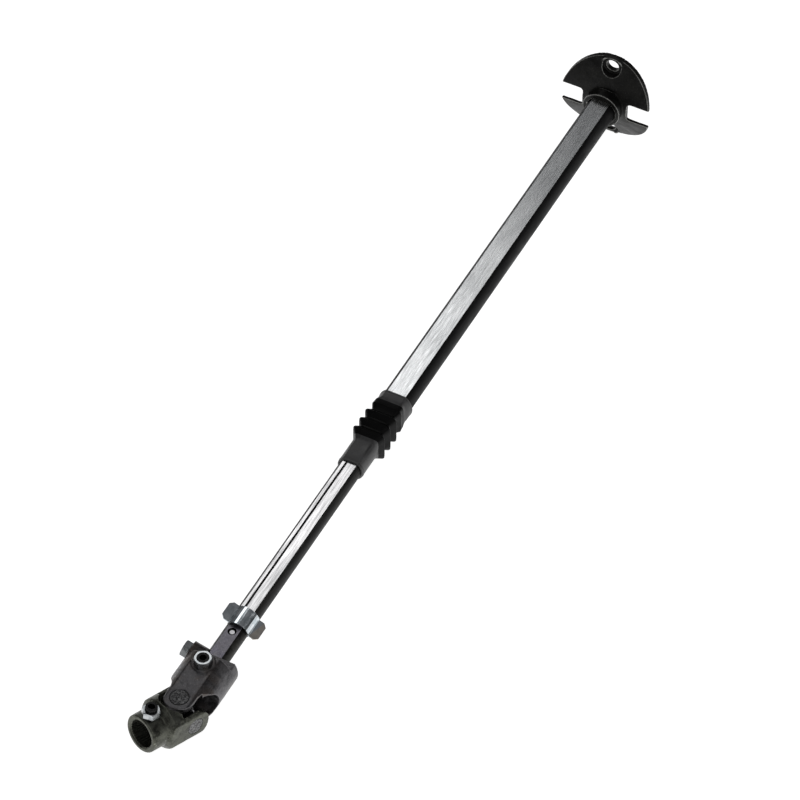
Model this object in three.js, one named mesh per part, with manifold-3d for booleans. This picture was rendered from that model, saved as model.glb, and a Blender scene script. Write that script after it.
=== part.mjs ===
// Telescopic steering shaft with a needle-bearing universal joint.
// Millimetres. The origin is the centre of the coupling flange's outer face,
// the shaft runs along -X from there, and +Z is normal to its upper flat.
import * as THREE from 'three';
import { mergeVertices } from 'three/addons/utils/BufferGeometryUtils.js';
import Module from 'manifold-3d';

const wasm = await Module();
wasm.setup();

// ---- driving dimensions -------------------------------------------------
// Stations named from, to, at and end count along the shaft from the joint centre.
const JOINT_X = -728;            // centre of the universal joint
const FIT = 0.3;                 // gap left between pieces that touch
const PAST = 1;                  // how far a cut runs past the face that it opens
const FAR = 60;                  // a station outside every cross-section
const YOKE_YAW = THREE.MathUtils.degToRad(20);    // bend about the cross's upright pins
const YOKE_PITCH = THREE.MathUtils.degToRad(10);  // bend about its level pins

const TUBE = { round: 25.4, flats: 20, boreRound: 20.9, boreFlats: 16.9, from: 337, to: 724 };
const SHAFT = { round: 19.05, flats: 15, from: 27, to: 446 };
const STUB = { round: 17.8, flats: 14.2, to: 90 };        // plain end that the yoke holds
const GROOVE = { y: 2.6, width: 1.8, depth: 0.9, from: 94, to: 438 };
const LINER = { wall: 0.33, length: 60, from: 339 };

const FLANGE = { thick: 4, radius: 42.5, oval: 0.965, bendFrom: 7,
  slope: Math.tan(THREE.MathUtils.degToRad(25)), blend: 4, notchRoot: 20.5, notchHalf: 9,
  notchFillet: 3.5, boltRadius: 34.5, boltHole: 11, seat: 17, seatStep: 1.5, seatDepth: 6,
  hub: 34, hubLength: 6 };

const CLIP = { at: 95, length: 17.5, wall: 1.1, ear: 16.8, earHeight: 5.6, chamfer: 3, turn: 23 };
const PIN = { at: 80.5, radius: 2, hole: 3.5, foot: 1, sink: 0.9 };

const BOOT = { wall: 1.4, lowerFrom: 270, lowerTo: 296.5, upperTo: 348, peak: 13.9, root: 10.6,
  lastPeak: 12.9, lastRoot: 12.4, pitch: 10, folds: 4, hollowEnd: 0.2, squareness: 8, slice: 0.5 };

const BEARING = { cup: 7, cupWall: 1.1, cupFloor: 1.2, pin: 4.7, pinEnd: 16.3, needle: 0.45,
  needles: 16, needleEnd: 16, earIn: 12, earOut: 18.2 };
const CROSS = { arm: 7.4, armHalf: 7.6, core: 6.4, coreHalf: 8.2 };
const SEAL = { radius: 6.9, from: 7.95 };
const YOKE = { radius: 20.6, throat: 24, end: 52.5, ear: 11.6, tip: 11.2, straight: 6, flareFrom: 10,
  flareTo: 4, relief: 9, reliefTo: 11.5, topX: 36.5, topBoss: 9, bossZ: 19, sideX: 50.5, sideBoss: 9,
  sideZ: 20.5, sideTurn: 75, bossFoot: 8, stepX: 45.5, stepZ: 9.6 };
const HUB = { radius: 15.6, bore: 11.6, mouth: 12.7, face: 39, throat: 20, tip: 12.6, shoulder: 23.5,
  chamfer: 1, screwX: 31, seat: 16.2, toothDepth: 0.6, teeth: 36 };
const SCREW = { radius: 4.7, from: 10, to: 24.6, socket: 2.6, socketFrom: 21, holeFrom: 4,
  nutFlats: 12.7, nutThick: 5.2, nutCrown: 6.5, nutChamfer: 1 };

// ---- solid helpers ------------------------------------------------------
const solid = (geometry) => {
  const plain = geometry.index ? geometry.toNonIndexed() : geometry.clone();
  for (const name of Object.keys(plain.attributes)) {
    if (name !== 'position') plain.deleteAttribute(name);
  }
  const welded = mergeVertices(plain, 1e-4);
  return new wasm.Manifold(new wasm.Mesh({
    numProp: 3,
    vertProperties: new Float32Array(welded.attributes.position.array),
    triVerts: new Uint32Array(welded.index.array),
  }));
};

const geometryOf = (body) => {
  const data = body.getMesh();
  const geometry = new THREE.BufferGeometry();
  geometry.setAttribute('position', new THREE.BufferAttribute(new Float32Array(data.vertProperties), 3));
  geometry.setIndex(new THREE.BufferAttribute(new Uint32Array(data.triVerts), 1));
  return geometry;
};

const piece = (name, body, material) => {
  const mesh = new THREE.Mesh(body.isBufferGeometry ? body : geometryOf(body), material);
  mesh.name = name;
  return mesh;
};

// Round bars along one axis, between two stations.
const barZ = (radius, z0, z1, sides = 32) =>
  solid(new THREE.CylinderGeometry(radius, radius, z1 - z0, sides)
    .rotateX(Math.PI / 2).translate(0, 0, (z0 + z1) / 2));
const barX = (radius, x0, x1, sides = 32) =>
  solid(new THREE.CylinderGeometry(radius, radius, x1 - x0, sides)
    .rotateZ(Math.PI / 2).translate((x0 + x1) / 2, 0, 0));
const block = (x0, x1, y0, y1, z0, z1) =>
  solid(new THREE.BoxGeometry(x1 - x0, y1 - y0, z1 - z0)
    .translate((x0 + x1) / 2, (y0 + y1) / 2, (z0 + z1) / 2));
const turnedX = (profile, sides = 40) =>      // profile: [x, radius] pairs that start and end on the axis
  solid(new THREE.LatheGeometry(profile.map(([x, r]) => new THREE.Vector2(r, x)), sides)
    .rotateZ(-Math.PI / 2));
const ringZ = (inner, outer, z0, z1, sides = 24) =>
  barZ(outer, z0, z1, sides).subtract(barZ(inner, z0 - 1, z1 + 1, sides));

// Round section with two flats, "double D", extruded along X.
const doubleD = (round, flats, x0, x1) => {
  const radius = round / 2;
  const edge = Math.asin(flats / round);
  const shape = new THREE.Shape();
  shape.absarc(0, 0, radius, -edge, edge, false);
  shape.absarc(0, 0, radius, Math.PI - edge, Math.PI + edge, false);
  shape.closePath();
  return solid(new THREE.ExtrudeGeometry(shape, { depth: x1 - x0, bevelEnabled: false, curveSegments: 10 })
    .rotateX(Math.PI / 2).rotateZ(Math.PI / 2).translate(x0, 0, 0));
};

const prismZ = (shape, z0, z1, curveSegments = 12) =>
  solid(new THREE.ExtrudeGeometry(shape, { depth: z1 - z0, bevelEnabled: false, curveSegments })
    .translate(0, 0, z0));

const hexagon = (flats) => {
  const shape = new THREE.Shape();
  const radius = flats / Math.sqrt(3);
  for (let i = 0; i < 6; i += 1) {
    const angle = (i * Math.PI) / 3;
    shape[i ? 'lineTo' : 'moveTo'](radius * Math.cos(angle), radius * Math.sin(angle));
  }
  shape.closePath();
  return shape;
};

// ---- materials ----------------------------------------------------------
const finish = (color, roughness, metalness) =>
  new THREE.MeshStandardMaterial({ color, roughness, metalness });
const brightSteel = finish(0xc9cbcc, 0.28, 1);
const groundSteel = finish(0xb4b6ba, 0.32, 1);
const forgedSteel = finish(0x4b4a4e, 0.5, 1);
const oliveSteel = finish(0x4a4b45, 0.5, 1);
const blackenedSteel = finish(0x232322, 0.4, 0.8);
const zinc = finish(0xc4cdd2, 0.3, 1);
const blackOxide = finish(0x131313, 0.45, 0.8);
const rubber = finish(0x111112, 0.6, 0);
const nylon = finish(0xd9d6c8, 0.55, 0);
const bearingSteel = finish(0x9fa0a2, 0.35, 1);

// ---- column end: flange, tube, liner, boot ------------------------------
// Slot with rounded inner corners, cut in from one side of the plate.
const flangeNotch = (side) => {
  const { notchRoot: root, notchHalf: half, notchFillet: fillet } = FLANGE;
  const shape = new THREE.Shape();            // Z against Y
  shape.moveTo(half, FAR);
  shape.lineTo(-half, FAR);
  shape.lineTo(-half, root + fillet);
  shape.quadraticCurveTo(-half, root, -half + fillet, root);
  shape.lineTo(half - fillet, root);
  shape.quadraticCurveTo(half, root, half, root + fillet);
  shape.closePath();
  return prismZ(shape, -FAR, FAR, 5).rotate([0, 90, 0]).scale([1, side, 1]);
};

// A slightly oval plate whose upper and lower lobes are folded back towards the column.
const couplingFlange = () => {
  const f = FLANGE;
  const reach = f.radius + PAST;
  const fold = (reach - f.bendFrom) * f.slope;
  const skin = f.thick * Math.sqrt(1 + f.slope * f.slope);
  const shape = new THREE.Shape();            // section in X and Z
  shape.moveTo(0, -f.bendFrom);
  shape.lineTo(fold, -reach);
  shape.lineTo(fold - skin, -reach);
  shape.quadraticCurveTo(-f.thick, -f.bendFrom - f.blend, -f.thick, 0);
  shape.quadraticCurveTo(-f.thick, f.bendFrom + f.blend, fold - skin, reach);
  shape.lineTo(fold, reach);
  shape.lineTo(0, f.bendFrom);
  shape.closePath();
  const rim = (radius) => barX(radius, -FAR, FAR, 72).scale([1, f.oval, 1]);
  let body = prismZ(shape, -FAR, FAR, 14).rotate([90, 0, 0]).intersect(rim(f.radius))
    .add(barX(f.hub / 2, -f.thick - f.hubLength, -1, 40));
  const seatX = (f.boltRadius - f.bendFrom) * f.slope - f.thick + f.seatStep;
  const pad = f.seat / 2 + f.seatStep;
  for (const side of [-1, 1]) {
    const atBolt = (bar) => bar.translate([0, 0, side * f.boltRadius]);
    body = body
      .add(atBolt(barX(pad, seatX - PAST, seatX + f.seatDepth - PAST, 28)).intersect(rim(f.radius - 0.5)))
      .subtract(atBolt(barX(f.seat / 2, -FAR, seatX, 28)))
      .subtract(atBolt(barX(f.boltHole / 2, -FAR, FAR, 24)))
      .subtract(flangeNotch(side));
  }
  const socket = doubleD(TUBE.round + 2 * FIT, TUBE.flats + 2 * FIT, -f.thick - f.hubLength - PAST, -3);
  return body.subtract(socket);
};

const outerTube = () => doubleD(TUBE.round, TUBE.flats, TUBE.from, TUBE.to)
  .subtract(doubleD(TUBE.boreRound, TUBE.boreFlats, TUBE.from - PAST, TUBE.to + PAST));

const slideLiner = () => {
  const gap = 2 * FIT;
  const skin = gap + 2 * LINER.wall;
  const to = LINER.from + LINER.length;
  return doubleD(SHAFT.round + skin, SHAFT.flats + skin, LINER.from, to)
    .subtract(doubleD(SHAFT.round + gap, SHAFT.flats + gap, LINER.from - PAST, to + PAST));
};

// A thin slice across the shaft at one station: a square with well rounded corners.
const squareSlice = (half, x) => {
  const { squareness, slice } = BOOT;
  const shape = new THREE.Shape();
  const sides = 40;
  for (let i = 0; i < sides; i += 1) {
    const angle = (i * 2 * Math.PI) / sides;
    const [across, up] = [Math.cos(angle), Math.sin(angle)];
    const blunt = (Math.abs(across) ** squareness + Math.abs(up) ** squareness) ** (1 / squareness);
    shape[i ? 'lineTo' : 'moveTo']((half / blunt) * across, (half / blunt) * up);
  }
  shape.closePath();
  return prismZ(shape, 0, slice).rotate([0, 90, 0]).translate([x - slice / 2, 0, 0]);
};

// Square bellows, hollow, between two cuffs that follow the bars.
const dustBoot = () => {
  const b = BOOT;
  const folds = (shrink) => {
    const cones = [];
    for (let i = 0; i < b.folds; i += 1) {
      const last = i === b.folds - 1;
      const from = b.lowerTo + i * b.pitch;
      const crest = squareSlice((last ? b.lastPeak : b.peak) - shrink, from + b.pitch / 2);
      const valley = squareSlice((last ? b.lastRoot : b.root) - shrink, from + b.pitch);
      cones.push(wasm.Manifold.hull([squareSlice(b.root - shrink, from), crest]));
      cones.push(wasm.Manifold.hull([crest, valley]));
    }
    return wasm.Manifold.union(cones);
  };
  const cuffX = b.lowerTo + b.folds * b.pitch;
  const thick = 2 * (b.wall + FIT);
  const gap = 2 * FIT;
  const cuff = (bar, x0, x1) => doubleD(bar.round + thick, bar.flats + thick, x0, x1);
  const bore = (bar, x0, x1) => doubleD(bar.round + gap, bar.flats + gap, x0, x1);
  const outside = folds(0).add(cuff(SHAFT, b.lowerFrom, b.lowerTo + 2))
    .add(cuff(TUBE, cuffX - 1, b.upperTo));
  const hollow = folds(b.wall).trimByPlane([1, 0, 0], b.lowerTo + b.wall)
    .trimByPlane([-1, 0, 0], b.hollowEnd - cuffX);
  return outside.subtract(hollow).subtract(bore(SHAFT, b.lowerFrom - PAST, TUBE.from))
    .subtract(bore(TUBE, TUBE.from - 1, b.upperTo + PAST));
};

// ---- sliding shaft, clip and pin ----------------------------------------
const innerShaft = () => {
  const s = SHAFT;
  const g = GROOVE;
  const flat = s.flats / 2;
  const body = doubleD(s.round, s.flats, STUB.to, s.to)
    .add(doubleD(STUB.round, STUB.flats, s.from, STUB.to + 1));
  const groove = block(g.from, g.to, g.y - g.width / 2, g.y + g.width / 2, flat - g.depth, flat + PAST);
  const pinHole = barZ(PIN.hole, PIN.foot, FAR, 20).translate([PIN.at, 0, 0]);
  return body.subtract(groove).subtract(pinHole);
};

const retainingPin = () => barZ(PIN.radius, PIN.foot + FIT, STUB.flats / 2 - PIN.sink, 20)
  .translate([PIN.at, 0, 0]);

// Strap bent over the shaft, with two flat ears in one plane.
const retainingClip = () => {
  const c = CLIP;
  const inner = SHAFT.round / 2 + FIT;
  const outer = inner + c.wall;
  const half = c.length / 2;
  const under = c.earHeight - c.wall;
  const strap = barX(outer, -half, half, 36)
    .intersect(block(-half, half, -outer, outer, under, outer));
  const corners = [[-1, -1], [1, -1], [1, 1], [-1, 1]];
  const ears = new THREE.Shape(corners.flatMap(([x, y]) => {
    const end = new THREE.Vector2(x * (half - c.chamfer), y * c.ear);
    const flank = new THREE.Vector2(x * half, y * (c.ear - c.chamfer));
    return x * y > 0 ? [flank, end] : [end, flank];
  }));
  return strap.add(prismZ(ears, under, c.earHeight))
    .subtract(barX(inner, -half - PAST, half + PAST, 36))
    .rotate([c.turn, 0, 0]).translate([c.at, 0, 0]);
};

// ---- universal joint, about its own centre -------------------------------
// Two ears above and below the centre, joined by a body on the +X side.
const fork = (throat, end, tip) => {
  const b = BEARING;
  const { radius, ear, straight, flareFrom, flareTo, relief, reliefTo } = YOKE;
  const outline = new THREE.Shape();          // seen along the ears' own axis
  outline.moveTo(0, ear);
  outline.quadraticCurveTo(-tip, ear, -tip, 0);
  outline.quadraticCurveTo(-tip, -ear, 0, -ear);
  outline.lineTo(straight, -ear);
  outline.quadraticCurveTo(throat - flareFrom, -ear - 1, throat - flareTo, -radius);
  outline.lineTo(end, -radius);
  outline.lineTo(end, radius);
  outline.lineTo(throat - flareTo, radius);
  outline.quadraticCurveTo(throat - flareFrom, ear + 1, straight, ear);
  outline.closePath();
  const slot = block(-FAR, throat - b.earIn, -FAR, FAR, -b.earIn, b.earIn)
    .add(barZ(b.earIn, -FAR, FAR, 40).rotate([90, 0, 0]).translate([throat - b.earIn, 0, 0]));
  let body = barX(radius, -FAR, end, 48).intersect(prismZ(outline, -b.earOut, b.earOut))
    .subtract(slot).subtract(barZ(b.cup + FIT, -FAR, FAR, 32));
  const half = 5;                             // the bevel cutter is a square bar on its corner
  const bevel = block(-FAR, reliefTo, -half, half, -half, half).rotate([45, 0, 0]);
  for (const y of [-1, 1]) {
    for (const z of [-1, 1]) {
      body = body.subtract(bevel.translate([0, y * (relief + half * Math.SQRT2), z * b.earIn]));
    }
  }
  return body;
};

// Clears a hexagonal nut that turns on a boss.
const spotFace = (from) => barZ(SCREW.nutFlats / Math.sqrt(3) + FIT, from, FAR, 32);
const screwHole = () => barZ(SCREW.radius + FIT, SCREW.holeFrom, FAR, 24);

const upperYoke = () => {
  const y = YOKE;
  const onTop = (body) => body.translate([y.topX, 0, 0]);
  const onSide = (body) => body.rotate([-y.sideTurn, 0, 0]).translate([y.sideX, 0, 0]);
  const socket = doubleD(STUB.round + 2 * FIT, STUB.flats + 2 * FIT, SHAFT.from - PAST, FAR);
  const step = block(y.stepX, FAR, -FAR, FAR, y.stepZ, FAR);
  return fork(y.throat, y.end, y.tip)
    .subtract(step)
    .add(onTop(barZ(y.topBoss, y.bossFoot, y.bossZ, 32)))
    .add(onSide(barZ(y.sideBoss, y.bossFoot, y.sideZ, 32)))
    .subtract(socket)
    .subtract(onTop(screwHole())).subtract(onTop(spotFace(y.bossZ)))
    .subtract(onSide(screwHole())).subtract(onSide(spotFace(y.sideZ)));
};

const splinedBore = (x0, x1) => {
  const shape = new THREE.Shape();
  for (let i = 0; i < 2 * HUB.teeth; i += 1) {
    const radius = HUB.bore - (i % 2 ? HUB.toothDepth : 0);
    const angle = (i * Math.PI) / HUB.teeth;
    shape[i ? 'lineTo' : 'moveTo'](radius * Math.cos(angle), radius * Math.sin(angle));
  }
  shape.closePath();
  return prismZ(shape, x0, x1).rotate([0, 90, 0]);
};

const lowerYoke = () => {
  const h = HUB;
  const end = h.shoulder + 2;
  const hub = turnedX([[h.throat, 0], [h.throat, h.radius], [h.face - h.chamfer, h.radius],
    [h.face, h.radius - h.chamfer], [h.face, 0]], 40);
  const mouth = turnedX([[h.face - h.chamfer, 0], [h.face - h.chamfer, h.bore],
    [h.face + h.chamfer, 2 * h.mouth - h.bore], [h.face + h.chamfer, 0]], 40);
  const envelope = turnedX([[-FAR, 0], [-FAR, FAR], [h.shoulder - 4, FAR], [h.shoulder - 3, YOKE.radius],
    [end, h.radius], [end, 0]], 40);
  const onTop = (body) => body.translate([h.screwX, 0, 0]);
  return fork(h.throat, end, h.tip).rotate([90, 0, 0])
    .intersect(envelope).add(hub)
    .subtract(splinedBore(h.throat / 2, h.face + PAST)).subtract(mouth)
    .subtract(onTop(screwHole())).subtract(onTop(spotFace(h.seat)));
};

const cross = () => {
  const { pin, pinEnd } = BEARING;
  const c = CROSS;
  const upright = barZ(pin, -pinEnd, pinEnd, 24).add(barZ(c.arm, -c.armHalf, c.armHalf, 24));
  return upright.add(upright.rotate([90, 0, 0])).add(barX(c.core, -c.coreHalf, c.coreHalf, 24));
};

// Cup, needles and seal on one pin, built along +Z.
const cup = () => {
  const b = BEARING;
  const top = b.earOut - FIT;
  return barZ(b.cup, b.earIn + 0.2, top, 32)
    .subtract(barZ(b.cup - b.cupWall, b.earIn - PAST, top - b.cupFloor, 32));
};

const needles = () => {
  const b = BEARING;
  const middle = (b.pin + b.cup - b.cupWall) / 2;
  const ripple = [0.75, 0.55, 0.25, 0.55];    // one needle's swell, in needle radii
  const shape = new THREE.Shape();
  const steps = b.needles * ripple.length;
  for (let i = 0; i < steps; i += 1) {
    const angle = (i * 2 * Math.PI) / steps;
    const radius = middle + b.needle * ripple[i % ripple.length];
    shape[i ? 'lineTo' : 'moveTo'](radius * Math.cos(angle), radius * Math.sin(angle));
  }
  shape.closePath();
  return prismZ(shape, b.earIn + 0.5, b.needleEnd)
    .subtract(barZ(b.pin + FIT, b.earIn - PAST, b.earOut, 32));
};

const seal = () => ringZ(BEARING.pin + FIT, SEAL.radius, SEAL.from, BEARING.earIn - 0.35, 24);

const setScrew = () => barZ(SCREW.radius, SCREW.from, SCREW.to, 24)
  .subtract(prismZ(hexagon(2 * SCREW.socket), SCREW.socketFrom, SCREW.to + PAST));

const jamNut = (from) => {
  const { nutFlats, nutThick, nutCrown, nutChamfer, radius } = SCREW;
  const to = from + nutThick;
  const corner = nutFlats / Math.sqrt(3) + FIT;
  const crown = turnedX([[from - PAST, 0], [from - PAST, corner], [to - nutChamfer, corner],
    [to, nutCrown], [to, 0]], 36).rotate([0, -90, 0]);
  return prismZ(hexagon(nutFlats), from, to)
    .subtract(barZ(radius + FIT, from - PAST, to + PAST, 24)).intersect(crown);
};

// ---- assembly -----------------------------------------------------------
const steeringShaft = new THREE.Group();

steeringShaft.add(piece('coupling_flange', couplingFlange(), blackenedSteel));

const shaftLine = new THREE.Group();          // axial stations count from the joint centre
shaftLine.position.x = JOINT_X;
shaftLine.add(
  piece('outer_tube', outerTube(), brightSteel),
  piece('slide_liner', slideLiner(), nylon),
  piece('dust_boot', dustBoot(), rubber),
  piece('inner_shaft', innerShaft(), groundSteel),
  piece('retaining_clip', retainingClip(), zinc),
  piece('retaining_pin', retainingPin(), bearingSteel),
  piece('upper_yoke', upperYoke(), forgedSteel),
);
steeringShaft.add(shaftLine);

// Cup, needles and seal at each end of one pair of pins.
const bearings = (group, prefix, ends) => {
  for (const [end, turn] of ends) {
    const seat = new THREE.Group();
    seat.rotation.x = turn;
    seat.add(
      piece(`${prefix}_bearing_cup_${end}`, cup(), bearingSteel),
      piece(`${prefix}_needles_${end}`, needles(), bearingSteel),
      piece(`${prefix}_seal_${end}`, seal(), rubber),
    );
    group.add(seat);
  }
};

// A set screw and its jam nut at axial station x, turned about the shaft axis.
const clampScrew = (group, name, x, turn, nutFrom) => {
  const seat = new THREE.Group();
  seat.position.x = x;
  seat.rotation.x = turn;
  seat.add(
    piece(`${name}_set_screw`, setScrew(), blackOxide),
    piece(`${name}_jam_nut`, jamNut(nutFrom), zinc),
  );
  group.add(seat);
};

bearings(shaftLine, 'upper', [['top', 0], ['bottom', Math.PI]]);
clampScrew(shaftLine, 'upper_top', YOKE.topX, 0, YOKE.bossZ + FIT);
clampScrew(shaftLine, 'upper_side', YOKE.sideX, -THREE.MathUtils.degToRad(YOKE.sideTurn),
  YOKE.sideZ + FIT);

const yawed = new THREE.Group();              // turns with the cross
yawed.position.x = JOINT_X;
yawed.rotation.z = -YOKE_YAW;
yawed.add(piece('cross', cross(), bearingSteel));
steeringShaft.add(yawed);

const pitched = new THREE.Group();            // turns with the lower yoke
pitched.rotation.y = YOKE_PITCH;
const lowerLine = new THREE.Group();
lowerLine.rotation.z = Math.PI;
lowerLine.add(piece('lower_yoke', lowerYoke(), oliveSteel));
bearings(lowerLine, 'lower', [['left', Math.PI / 2], ['right', -Math.PI / 2]]);
clampScrew(lowerLine, 'lower', HUB.screwX, 0, HUB.seat + FIT);
pitched.add(lowerLine);
yawed.add(pitched);

export default steeringShaft;
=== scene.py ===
"""Telescopic steering shaft with a universal joint: the finished look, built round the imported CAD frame."""
import math

import bmesh
import bpy
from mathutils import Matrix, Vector


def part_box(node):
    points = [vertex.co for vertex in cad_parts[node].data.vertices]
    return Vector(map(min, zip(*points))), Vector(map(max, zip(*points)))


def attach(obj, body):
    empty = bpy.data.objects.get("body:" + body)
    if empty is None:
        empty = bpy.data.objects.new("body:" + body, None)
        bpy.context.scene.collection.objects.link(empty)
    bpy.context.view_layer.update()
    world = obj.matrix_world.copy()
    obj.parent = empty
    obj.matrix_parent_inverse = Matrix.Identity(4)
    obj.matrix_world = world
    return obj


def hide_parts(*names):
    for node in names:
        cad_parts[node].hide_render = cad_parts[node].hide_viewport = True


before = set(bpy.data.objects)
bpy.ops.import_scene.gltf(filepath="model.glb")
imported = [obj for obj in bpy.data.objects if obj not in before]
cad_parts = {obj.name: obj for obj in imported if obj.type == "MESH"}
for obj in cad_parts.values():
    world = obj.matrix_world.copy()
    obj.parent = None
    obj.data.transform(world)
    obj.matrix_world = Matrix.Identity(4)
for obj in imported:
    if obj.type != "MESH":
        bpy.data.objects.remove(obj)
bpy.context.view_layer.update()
MM = 0.001

# Double-D sections in millimetres: across the rounds, then across the flats.
SHAFT_BAR = (19.05, 15.0)
TUBE_BAR = (25.4, 20.0)
TUBE_BORE = (20.9, 16.9)


# ---------------------------------------------------------------- materials
class Graph:
    """A Principled material with helpers for the few node patterns used here."""

    def __init__(self, name, roughness, metallic):
        self.material = bpy.data.materials.new(name)
        self.material.use_nodes = True
        self.tree = self.material.node_tree
        self.nodes = self.tree.nodes
        self.shader = self.nodes["Principled BSDF"]
        self.shader.inputs["Roughness"].default_value = roughness
        self.shader.inputs["Metallic"].default_value = metallic
        self.position = self.nodes.new("ShaderNodeTexCoord").outputs["Object"]

    def link(self, source, target):
        self.tree.links.new(source, target)

    def stretched(self, scale):
        mapping = self.nodes.new("ShaderNodeMapping")
        mapping.inputs["Scale"].default_value = scale
        self.link(self.position, mapping.inputs["Vector"])
        return mapping.outputs["Vector"]

    def noise(self, scale, detail=4, stretch=(1, 1, 1), distortion=0.0):
        node = self.nodes.new("ShaderNodeTexNoise")
        node.inputs["Scale"].default_value = scale
        node.inputs["Detail"].default_value = detail
        node.inputs["Distortion"].default_value = distortion
        self.link(self.stretched(stretch), node.inputs["Vector"])
        return node.outputs["Fac"]

    def cells(self, scale):
        node = self.nodes.new("ShaderNodeTexVoronoi")
        node.inputs["Scale"].default_value = scale
        self.link(self.stretched((1, 1, 1)), node.inputs["Vector"])
        return node.outputs["Distance"]

    def ramp(self, value, *stops):
        node = self.nodes.new("ShaderNodeValToRGB")
        elements = node.color_ramp.elements
        while len(elements) < len(stops):
            elements.new(0.5)
        for element, (place, colour) in zip(elements, stops):
            element.position = place
            element.color = (*colour, 1)
        self.link(value, node.inputs["Fac"])
        return node.outputs["Color"]

    def grey(self, value, low, high, start=0.3, end=0.7):
        return self.ramp(value, (start, (low,) * 3), (end, (high,) * 3))

    def mix(self, factor, a, b):
        node = self.nodes.new("ShaderNodeMix")
        node.data_type = "RGBA"
        for socket, source in zip((node.inputs[0], node.inputs[6], node.inputs[7]), (factor, a, b)):
            if hasattr(source, "is_linked"):
                self.link(source, socket)
            elif isinstance(source, tuple):
                socket.default_value = (*source, 1)
            else:
                socket.default_value = source
        return node.outputs[2]

    def edges(self, low=0.51, high=0.58):
        """Bright where the surface is a worn outside edge."""
        pointiness = self.nodes.new("ShaderNodeNewGeometry").outputs["Pointiness"]
        return self.grey(pointiness, 0, 1, low, high)

    def colour(self, source):
        self.link(source, self.shader.inputs["Base Color"])

    def roughness(self, source):
        self.link(source, self.shader.inputs["Roughness"])

    def bump(self, height, distance, strength=1.0, normal=None):
        node = self.nodes.new("ShaderNodeBump")
        node.inputs["Distance"].default_value = distance
        node.inputs["Strength"].default_value = strength
        self.link(height, node.inputs["Height"])
        if normal is not None:
            self.link(normal, node.inputs["Normal"])
        self.link(node.outputs["Normal"], self.shader.inputs["Normal"])
        return node.outputs["Normal"]


ALONG = (0.04, 1, 1)          # drawn and ground steel: the grain runs along the shaft


def drawn_steel(name, dark, light, rough):
    """Bright bar steel with drawing lines along its length, faint stains and small pits."""
    g = Graph(name, rough, 1.0)
    lines = g.noise(1400, 3, ALONG)
    stains = g.noise(38, 5, (0.35, 1, 1), 0.4)
    speckle = g.noise(900, 2)
    base = g.mix(g.grey(stains, 0, 1, 0.35, 0.68), dark, light)
    base = g.mix(g.grey(lines, 0, 0.35, 0.35, 0.75), base, tuple(c * 0.72 for c in dark))
    base = g.mix(g.grey(speckle, 0, 0.5, 0.66, 0.74), base, (0.16, 0.16, 0.17))
    g.colour(base)
    g.roughness(g.grey(lines, rough - 0.05, rough + 0.12, 0.3, 0.7))
    g.bump(lines, 0.00004, 0.55)
    return g.material


def painted_shade_steel(name, dark, light, rough, metallic=0.35, specular=0.3):
    """The bar's rounded sides, and its groove and pin hole, painted dark as shade, with rubbed streaks."""
    g = Graph(name, rough, metallic)
    streaks = g.noise(420, 4, (0.06, 1, 1))
    blotch = g.noise(120, 5, (0.5, 1, 1), 0.6)
    base = g.mix(g.grey(blotch, 0, 1, 0.38, 0.66), dark, light)
    base = g.mix(g.grey(streaks, 0, 0.5, 0.54, 0.74), base, tuple(c * 2.4 for c in light))
    g.colour(base)
    g.roughness(g.grey(blotch, rough - 0.06, rough + 0.14, 0.35, 0.7))
    g.shader.inputs["Specular IOR Level"].default_value = specular
    g.bump(g.noise(1500, 3), 0.00005, 0.6)
    return g.material


def forged(name, dark, light, tint, rough, tint_scale=45, worn=True):
    """Forged and part-machined alloy steel: grainy, mottled, with bright rubbed edges."""
    g = Graph(name, rough, 1.0)
    grain = g.noise(1300, 3)
    mottle = g.noise(150, 6, (1, 1, 1), 0.8)
    patches = g.noise(tint_scale, 3, (1, 1, 1), 0.5)
    base = g.mix(g.grey(mottle, 0, 1, 0.36, 0.66), dark, light)
    base = g.mix(g.grey(patches, 0, 0.75, 0.5, 0.66), base, tint)
    base = g.mix(g.grey(grain, 0, 0.45, 0.55, 0.7), base, tuple(c * 1.7 for c in light))
    if worn:
        base = g.mix(g.edges(), base, tuple(min(1, c * 2.2) for c in light))
    g.colour(base)
    g.roughness(g.grey(mottle, rough - 0.08, rough + 0.14, 0.3, 0.7))
    first = g.bump(grain, 0.00008, 0.7)
    g.bump(mottle, 0.00025, 0.5, first)
    return g.material


def staked(name, dark, light, rough):
    """Bearing caps and staked metal: peened all over with small dimples."""
    g = Graph(name, rough, 1.0)
    dimples = g.cells(750)
    grain = g.noise(600, 4)
    base = g.mix(g.grey(dimples, 0, 1, 0.15, 0.6), dark, light)
    base = g.mix(g.grey(grain, 0, 0.6, 0.45, 0.62), base, tuple(c * 0.45 for c in dark))
    g.colour(base)
    g.roughness(g.grey(grain, rough - 0.05, rough + 0.2, 0.3, 0.7))
    g.bump(dimples, 0.00035, 0.9)
    return g.material


def plated(name, base, shade, rough, grain_scale=900):
    """Bright zinc plate with a faint blue cast, cloudy patches and fine scratches."""
    g = Graph(name, rough, 1.0)
    cloud = g.noise(160, 5, (1, 1, 1), 0.4)
    fine = g.noise(grain_scale, 3, (0.25, 1, 1))
    mixed = g.mix(g.grey(cloud, 0, 1, 0.35, 0.68), shade, base)
    g.colour(g.mix(g.grey(fine, 0, 0.3, 0.55, 0.75), mixed, tuple(c * 0.5 for c in shade)))
    g.roughness(g.grey(cloud, rough - 0.05, rough + 0.1, 0.3, 0.7))
    g.bump(fine, 0.00003, 0.6)
    return g.material


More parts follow.
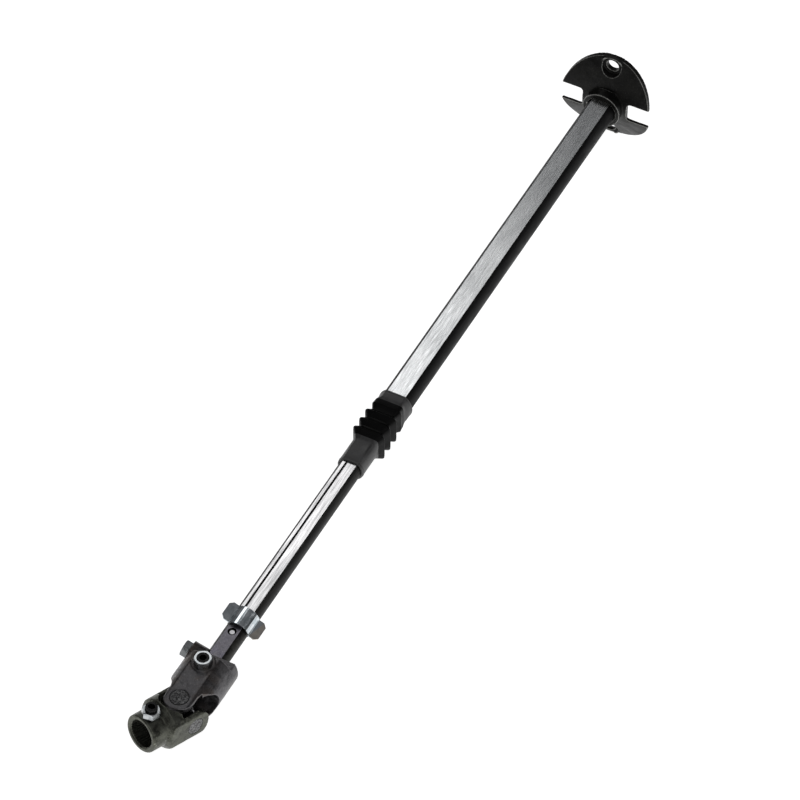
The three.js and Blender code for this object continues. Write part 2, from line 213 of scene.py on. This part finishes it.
def blackened(name):
    """Dark oxide over forged plate: blotchy gloss, small scale pits, bright worn rim."""
    g = Graph(name, 0.34, 0.12)
    blotch = g.noise(70, 6, (1, 1, 1), 0.7)
    grain = g.noise(900, 3)
    base = g.mix(g.grey(blotch, 0, 1, 0.34, 0.7), (0.004, 0.004, 0.0038), (0.014, 0.0138, 0.0122))
    base = g.mix(g.grey(grain, 0, 0.35, 0.6, 0.74), base, (0.1, 0.098, 0.09))
    base = g.mix(g.edges(0.515, 0.56), base, (0.6, 0.6, 0.57))
    g.colour(base)
    g.roughness(g.grey(blotch, 0.26, 0.46, 0.3, 0.7))
    g.shader.inputs["Specular IOR Level"].default_value = 0.17
    first = g.bump(grain, 0.00006, 0.7)
    g.bump(blotch, 0.0006, 0.35, first)
    return g.material


def moulded_rubber(name, dark, light, specular):
    """Black moulded rubber with soft lighter blotches, which are bloom and, in the lighter cuff colours,
    painted sheen, and a fine satin grain.
    """
    g = Graph(name, 0.5, 0.0)
    bloom_and_sheen = g.noise(110, 5, (1, 1, 1), 0.5)
    grain = g.noise(2200, 2)
    g.colour(g.mix(g.grey(bloom_and_sheen, 0, 1, 0.35, 0.7), (dark, dark, dark), (light, light, light)))
    g.roughness(g.grey(bloom_and_sheen, 0.36, 0.6, 0.3, 0.7))
    g.shader.inputs["Specular IOR Level"].default_value = specular
    first = g.bump(grain, 0.00003, 0.8)
    g.bump(bloom_and_sheen, 0.0003, 0.25, first)
    return g.material


def oxide_screw(name):
    g = Graph(name, 0.42, 0.8)
    grain = g.noise(1200, 3)
    g.colour(g.mix(g.grey(grain, 0, 1, 0.4, 0.66), (0.006, 0.006, 0.006), (0.03, 0.03, 0.031)))
    g.bump(grain, 0.00005, 0.7)
    return g.material


def moulded_nylon(name):
    g = Graph(name, 0.5, 0.0)
    cloud = g.noise(220, 4)
    g.colour(g.mix(g.grey(cloud, 0, 1, 0.35, 0.7), (0.62, 0.6, 0.52), (0.74, 0.72, 0.64)))
    g.bump(g.noise(1500, 2), 0.00003, 0.6)
    return g.material


def pale_floor(name):
    g = Graph(name, 0.9, 0.0)
    g.colour(g.mix(g.grey(g.noise(3, 2), 0, 1), (0.9, 0.9, 0.9), (0.93, 0.93, 0.93)))
    g.shader.inputs["Emission Color"].default_value = (1, 1, 1, 1)
    g.shader.inputs["Emission Strength"].default_value = 0.92
    return g.material


TUBE_FLAT = drawn_steel("tube_flat", (0.50, 0.51, 0.515), (0.74, 0.75, 0.755), 0.22)
# Painted shade: the rounded sides of the tube and of the sliding bar are coloured near black, far darker than
# their bright flats.
TUBE_ROUND_PAINTED_SHADE = painted_shade_steel("tube_round_painted_shade", (0.0015, 0.0015, 0.0015), (0.005, 0.005, 0.0055), 0.45,
                        metallic=0.0, specular=0.09)
SHAFT_FLAT = drawn_steel("shaft_flat", (0.44, 0.44, 0.445), (0.72, 0.71, 0.715), 0.24)
SHAFT_ROUND_PAINTED_SHADE = painted_shade_steel("shaft_round_painted_shade", (0.006, 0.006, 0.0055), (0.02, 0.02, 0.018), 0.45,
                         metallic=0.1, specular=0.16)
STUB = forged("shaft_stub", (0.11, 0.106, 0.12), (0.31, 0.3, 0.33), (0.18, 0.172, 0.21), 0.4,
              tint_scale=120, worn=False)
# Painted shade: the stub's rounded sides are a much darker copy of the stub's own forged colour.
STUB_SIDE_PAINTED_SHADE = forged("stub_side_painted_shade", (0.012, 0.012, 0.011), (0.04, 0.04, 0.036), (0.02, 0.02, 0.019), 0.45,
                   tint_scale=90, worn=False)
# Painted shade: the groove along the bar's flat and the walls of the stub's pin hole are coloured black in
# place of their shadow.
GROOVE_PAINTED_SHADE = painted_shade_steel("groove_painted_shade", (0.003, 0.003, 0.003), (0.01, 0.01, 0.01), 0.5,
                         metallic=0.0, specular=0.2)
UPPER_YOKE = forged("upper_yoke_steel", (0.054, 0.053, 0.055), (0.135, 0.132, 0.136),
                    (0.09, 0.07, 0.057), 0.38)
LOWER_YOKE = forged("lower_yoke_steel", (0.043, 0.044, 0.036), (0.135, 0.139, 0.116),
                    (0.08, 0.082, 0.074), 0.4)
FLANGE = blackened("flange_oxide")
ZINC = plated("zinc_plate", (0.6, 0.62, 0.63), (0.3, 0.32, 0.33), 0.24)
CLIP_ZINC = plated("clip_zinc", (0.72, 0.76, 0.79), (0.5, 0.55, 0.58), 0.12)
CAP = staked("bearing_cap", (0.05, 0.05, 0.052), (0.19, 0.19, 0.19), 0.4)
BEARING = plated("bearing_steel", (0.5, 0.5, 0.51), (0.34, 0.34, 0.35), 0.3)
RUBBER = moulded_rubber("boot_rubber", 0.001, 0.004, 0.12)
# Painted sheen: the cuffs and all of the boot outside the folds are coloured lighter than the black folds.
CUFF_RUBBER_PAINTED_SHEEN = moulded_rubber("cuff_rubber_painted_sheen", 0.015, 0.07, 0.7)
EAR_ZINC = plated("clip_ear_zinc", (0.62, 0.58, 0.52), (0.5, 0.47, 0.43), 0.42)
OXIDE = oxide_screw("black_oxide")
NYLON = moulded_nylon("liner_nylon")


# ---------------------------------------------------------------- mesh tools
def new_piece(name, verts, faces, materials, face_slots=None, smooth=True):
    mesh = bpy.data.meshes.new(name)
    mesh.from_pydata([tuple(v) for v in verts], [], faces)
    for material in materials:
        mesh.materials.append(material)
    for index, polygon in enumerate(mesh.polygons):
        polygon.use_smooth = smooth
        if face_slots:
            polygon.material_index = face_slots[index]
    piece = bpy.data.objects.new(name, mesh)
    bpy.context.scene.collection.objects.link(piece)
    tidy = bmesh.new()
    tidy.from_mesh(mesh)
    bmesh.ops.recalc_face_normals(tidy, faces=tidy.faces)
    tidy.to_mesh(mesh)
    tidy.free()
    return piece


def split_sharp(piece, degrees=32):
    modifier = piece.modifiers.new("sharp_edges", "EDGE_SPLIT")
    modifier.split_angle = math.radians(degrees)


def double_d(round_mm, flats_mm, count=72):
    """Points round a double-D section, each (y, z, is_flat), in millimetres."""
    radius = round_mm / 2
    edge = math.asin(flats_mm / round_mm)
    arc = count * 3 // 8
    flat = count // 8
    half_chord = radius * math.cos(edge)
    points = []
    for side in (0, math.pi):
        for i in range(arc):
            angle = side - edge + 2 * edge * i / arc
            points.append((radius * math.cos(angle), radius * math.sin(angle), False))
        sign = 1 if side == 0 else -1
        for i in range(flat):
            points.append((sign * (half_chord - 2 * half_chord * i / flat), sign * flats_mm / 2, True))
    return points


def loft(rings, material_of):
    """Joins rings of equal point count, the last back to the first, into one closed skin."""
    count = len(rings[0])
    verts = [point for ring in rings for point in ring]
    faces, slots = [], []
    for i in range(len(rings)):
        a, b = i * count, ((i + 1) % len(rings)) * count
        for j in range(count):
            k = (j + 1) % count
            faces.append((a + j, a + k, b + k, b + j))
            slots.append(material_of(i, j))
    return verts, faces, slots


def d_ring(x_mm, round_mm, flats_mm, count=72):
    return [Vector((x_mm, y, z)) * MM for y, z, _ in double_d(round_mm, flats_mm, count)]


def station(node, side):
    """A node's lower or upper X, in millimetres."""
    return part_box(node)[side].x / MM


def make_outer_tube():
    """The tube's skin, with broken edges: bright flats, rounded sides painted dark as shade, and a bright
    bore and ends.
    """
    x0, x1 = station("outer_tube", 0), station("outer_tube", 1)
    outer, flats = TUBE_BAR
    lip = 0.5
    rings = [d_ring(x0, outer - 2 * lip, flats - 2 * lip), d_ring(x0 + lip, outer, flats),
             d_ring(x1 - lip, outer, flats), d_ring(x1, outer - 2 * lip, flats - 2 * lip),
             d_ring(x1, *TUBE_BORE), d_ring(x0, *TUBE_BORE)]
    last_outside = 2
    flat_at = [p[2] for p in double_d(outer, flats)]
    verts, faces, slots = loft(rings, lambda i, j: 0 if flat_at[j] or i > last_outside else 1)
    piece = new_piece("tube_skin", verts, faces, [TUBE_FLAT, TUBE_ROUND_PAINTED_SHADE], slots)
    split_sharp(piece)
    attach(piece, "column_shaft")
    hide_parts("outer_tube")


def dress_inner_shaft():
    """Bright flats; rounded sides painted dark as shade; the groove and the stub's pin hole painted black as
    shade; and a mottled plain stub whose rounded sides are painted darker as shade.
    """
    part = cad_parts["inner_shaft"]
    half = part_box("inner_shaft")[1].z
    stub_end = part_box("retaining_clip")[0].x + 3.75 * MM
    bright_skin, stub_skin, groove_depth = 0.1 * MM, 0.6 * MM, 1.2 * MM
    hole_half, groove_half = 2.7 * MM, 4 * MM
    bright, rounded, stub_flat, dark, stub_round = range(5)
    part.data.materials.clear()
    for material in (SHAFT_FLAT, SHAFT_ROUND_PAINTED_SHADE, STUB, GROOVE_PAINTED_SHADE, STUB_SIDE_PAINTED_SHADE):
        part.data.materials.append(material)
    for polygon in part.data.polygons:
        centre = polygon.center
        on_stub = centre.x < stub_end
        level = abs(polygon.normal.z) > 0.99
        if level and abs(centre.z) > half - bright_skin:
            polygon.material_index = bright
        elif on_stub and level and abs(centre.z) > half - stub_skin:
            polygon.material_index = stub_flat
        # Painted shade below: the pin hole and the groove take the black groove colour, and the stub's
        # rounded sides a darker copy of the stub colour.
        elif on_stub:
            polygon.material_index = dark if abs(centre.y) < hole_half else stub_round
        elif centre.z > half - groove_depth and abs(centre.y) < groove_half:
            polygon.material_index = dark
        else:
            polygon.material_index = rounded
    shade_by_angle(part, 30)


def make_boot():
    """Square bellows between two double-D cuffs: one closed skin of rubber, lofted in sections along X; all
    but the folds take a lighter rubber colour as painted sheen.
    """
    x0, x1 = station("dust_boot", 0), station("dust_boot", 1)
    count, wall, squareness = 96, 1.4, 8
    play = 0.6                 # the cuffs' bores are this much wider than the bars
    lower, upper = [tuple(size + play for size in bar) for bar in (SHAFT_BAR, TUBE_BAR)]
    neck, pitch, folds = x0 + 26.5, 10.0, 4
    peak, root, last_peak, last_root = 13.9, 10.6, 12.9, 12.4
    cuff = neck + pitch * folds
    headings = [Vector((0, p[0], p[1])).normalized() for p in double_d(*upper, count)]

    def d_section(x, bore, grow):
        return d_ring(x, bore[0] + 2 * grow, bore[1] + 2 * grow, count)

    def square_section(x, half):
        """A square with well rounded corners, its flats at one distance from the axis."""
        points = []
        for out in headings:
            blunt = (abs(out.y) ** squareness + abs(out.z) ** squareness) ** (1 / squareness)
            points.append((out * half / blunt + Vector((x, 0, 0))) * MM)
        return points

    def blended(x, bore, grow, half, share):
        """A double-D on its way to a square: share 0 is all double-D, share 1 is all square."""
        pairs = zip(d_section(x, bore, grow), square_section(x, half))
        return [start.lerp(end, share) for start, end in pairs]

    def folded(shrink):
        """Crests and valleys, each a little blunted, from the neck to the upper cuff."""
        rings = []
        for fold in range(folds):
            last = fold == folds - 1
            crest, valley = (last_peak, last_root) if last else (peak, root)
            start = neck + pitch * fold
            for t, half in ((0.06, root + 0.1), (0.44, crest - 0.25), (0.5, crest), (0.56, crest - 0.25),
                            (0.94, valley + 0.1)):
                rings.append(square_section(start + pitch * t, half - shrink))
        return rings

    bead = 0.25
    outside = [d_section(x0, lower, wall - 0.5), d_section(x0 + 0.5, lower, wall),
               d_section(x0 + 1.2, lower, wall), d_section(x0 + 2.2, lower, wall + bead),
               d_section(x0 + 3.2, lower, wall), d_section(neck - 3, lower, wall),
               blended(neck - 1, lower, wall, root, 0.5)]
    skirt = [blended(cuff + 4 * t, upper, wall, last_root, 1 - t) for t in (0.0, 0.35, 0.7, 1.0)]
    collar = [d_section(x1 - 2.2, upper, wall), d_section(x1 - 1.9, upper, wall + bead),
              d_section(x1 - 0.6, upper, wall + bead), d_section(x1, upper, wall - 0.4)]
    inside = [d_section(x1, upper, 0), d_section(cuff + 2, upper, 0)]
    inside += list(reversed(folded(wall)))
    inside += [d_section(neck - 2, lower, 0), d_section(x0, lower, 0)]
    outer_folds = folded(0)
    folds_from, folds_to = len(outside), len(outside) + len(outer_folds)
    rings = outside + outer_folds + skirt + collar + inside
    verts, faces, slots = loft(rings, lambda i, j: 0 if folds_from <= i < folds_to else 1)
    piece = new_piece("bellows_boot", verts, faces, [RUBBER, CUFF_RUBBER_PAINTED_SHEEN], slots)
    split_sharp(piece, 28)
    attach(piece, "column_shaft")
    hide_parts("dust_boot")


def dress_clip():
    """Bright plate on the strap, and dulled plate on the tip of the ear at the -Y side."""
    crisp("retaining_clip", CLIP_ZINC, 0.22)
    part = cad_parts["retaining_clip"]
    part.data.materials.append(EAR_ZINC)
    ear_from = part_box("retaining_clip")[0].y + 5 * MM
    for polygon in part.data.polygons:
        if polygon.center.y < ear_from:
            polygon.material_index = 1


def soften(node, material, voxel, rounds, grain=None, push=0.0):
    """A forged or cast CAD part: its edges are rounded off by a fine remesh, and its skin is made uneven."""
    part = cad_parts[node]
    part.data.materials.clear()
    part.data.materials.append(material)
    remesh = part.modifiers.new("skin", "REMESH")
    remesh.mode = "VOXEL"
    remesh.voxel_size = voxel * MM
    remesh.use_smooth_shade = True
    smooth = part.modifiers.new("round_edges", "SMOOTH")
    smooth.factor = 0.5
    smooth.iterations = rounds
    if grain:
        texture = bpy.data.textures.new(f"{node}_grain", "CLOUDS")
        texture.noise_scale = grain * MM
        texture.noise_depth = 3
        uneven = part.modifiers.new("uneven", "DISPLACE")
        uneven.texture = texture
        uneven.texture_coords = "LOCAL"
        uneven.strength = push * MM
        uneven.mid_level = 0.6


def crisp(node, material, bevel=0.35, angle=35):
    """A machined CAD part: narrow bevels on its edges, smooth round walls."""
    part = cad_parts[node]
    part.data.materials.clear()
    part.data.materials.append(material)
    if bevel:
        edge = part.modifiers.new("edge_break", "BEVEL")
        edge.width = bevel * MM
        edge.segments = 2
        edge.limit_method = "ANGLE"
        edge.angle_limit = math.radians(angle)
        edge.harden_normals = False
    shade_by_angle(part, 30)


def shade_by_angle(part, degrees):
    for polygon in part.data.polygons:
        polygon.use_smooth = True
    split_sharp(part, degrees)


def dress_parts():
    dress_inner_shaft()
    soften("upper_yoke", UPPER_YOKE, 0.4, 5, 5.0, 0.28)
    soften("lower_yoke", LOWER_YOKE, 0.36, 4, 4.0, 0.24)
    soften("coupling_flange", FLANGE, 0.5, 5, 9.0, 0.4)
    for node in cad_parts:
        if node.endswith("jam_nut"):
            crisp(node, ZINC, 0.3)
        elif node.endswith("set_screw"):
            crisp(node, OXIDE, 0.25)
        elif "bearing_cup" in node:
            crisp(node, CAP, 0.3)
        elif "needles" in node:
            crisp(node, BEARING, 0)
        elif "seal" in node:
            crisp(node, RUBBER, 0.2)
    crisp("cross", BEARING, 0.4)
    dress_clip()
    crisp("retaining_pin", BEARING, 0.4)
    crisp("slide_liner", NYLON, 0)


make_outer_tube()
make_boot()
dress_parts()


# ---------------------------------------------------------------- floor, light, camera
def aimed(thing, place, target):
    thing.location = place
    thing.rotation_euler = (Vector(target) - Vector(place)).to_track_quat("-Z", "Y").to_euler()


def make_floor():
    """A pale, tilted table just under the flange's lower lobe and the underside of the joint at rest."""
    flange_low, yoke_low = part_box("coupling_flange")[0].z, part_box("upper_yoke")[0].z
    flange_x, yoke_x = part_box("coupling_flange")[1].x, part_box("upper_yoke")[0].x
    slope = (flange_low - yoke_low) / (flange_x - yoke_x)
    clearance = 0.0015
    half = 6.0
    verts = [(x, y, flange_low + slope * (x - flange_x) - clearance) for x, y in
             ((-half, -half), (half, -half), (half, half), (-half, half))]
    floor = new_piece("table_top", verts, [(0, 1, 2, 3)], [pale_floor("table_paint")], None, False)


def soft_box(name, place, target, width, height, watts):
    light = bpy.data.lights.new(name, "AREA")
    light.shape = "RECTANGLE"
    light.size, light.size_y, light.energy = width, height, watts
    holder = bpy.data.objects.new(name, light)
    bpy.context.scene.collection.objects.link(holder)
    aimed(holder, place, target)


def make_camera():
    """A long lens high on the joint's side of the shaft, level with the horizon."""
    azimuth, elevation = math.radians(-62.49), math.radians(48.18)
    distance, lens_mm = 3.611, 205.4115
    aim = Vector((-0.37192, 0.000945, -0.0051007))
    back = Vector((math.sin(azimuth) * math.cos(elevation), -math.cos(azimuth) * math.cos(elevation),
                   math.sin(elevation)))
    data = bpy.data.cameras.new("product_camera")
    data.sensor_width = 36
    data.lens = lens_mm
    data.clip_end = 50
    camera = bpy.data.objects.new("product_camera", data)
    bpy.context.scene.collection.objects.link(camera)
    camera.location = aim + back * distance
    camera.rotation_euler = (-back).to_track_quat("-Z", "Y").to_euler()
    bpy.context.scene.camera = camera


def make_light():
    """A soft box that the upper flats mirror from the joint to mid-tube, two fills, and a dim room."""
    soft_box("key_box", (0.51, 0.62, 1.5), (-0.45, 0, 0), 0.56, 0.8, 2.7)
    soft_box("fill_box", (-2.0, -0.6, 1.9), (-0.5, 0, 0), 0.8, 1.0, 5)
    soft_box("side_strip", (0.66, -1.34, 0.56), (-0.4, 0, 0), 0.15, 1.0, 0.9)
    world = bpy.data.worlds.new("studio")
    world.use_nodes = True
    nodes, links = world.node_tree.nodes, world.node_tree.links
    place = nodes.new("ShaderNodeTexCoord")
    split = nodes.new("ShaderNodeSeparateXYZ")
    ramp = nodes.new("ShaderNodeValToRGB")
    elements = ramp.color_ramp.elements
    elements[0].position, elements[0].color = 0.05, (0.05, 0.05, 0.05, 1)
    elements[1].position, elements[1].color = 1.0, (0.2, 0.2, 0.205, 1)
    middle = elements.new(0.45)
    middle.color = (0.12, 0.12, 0.124, 1)
    links.new(place.outputs["Generated"], split.inputs["Vector"])
    links.new(split.outputs["Z"], ramp.inputs["Fac"])
    links.new(ramp.outputs["Color"], nodes["Background"].inputs["Color"])
    nodes["Background"].inputs["Strength"].default_value = 1.0
    bpy.context.scene.world = world
    bpy.context.scene.view_settings.view_transform = "Standard"


make_floor()
make_camera()
make_light()
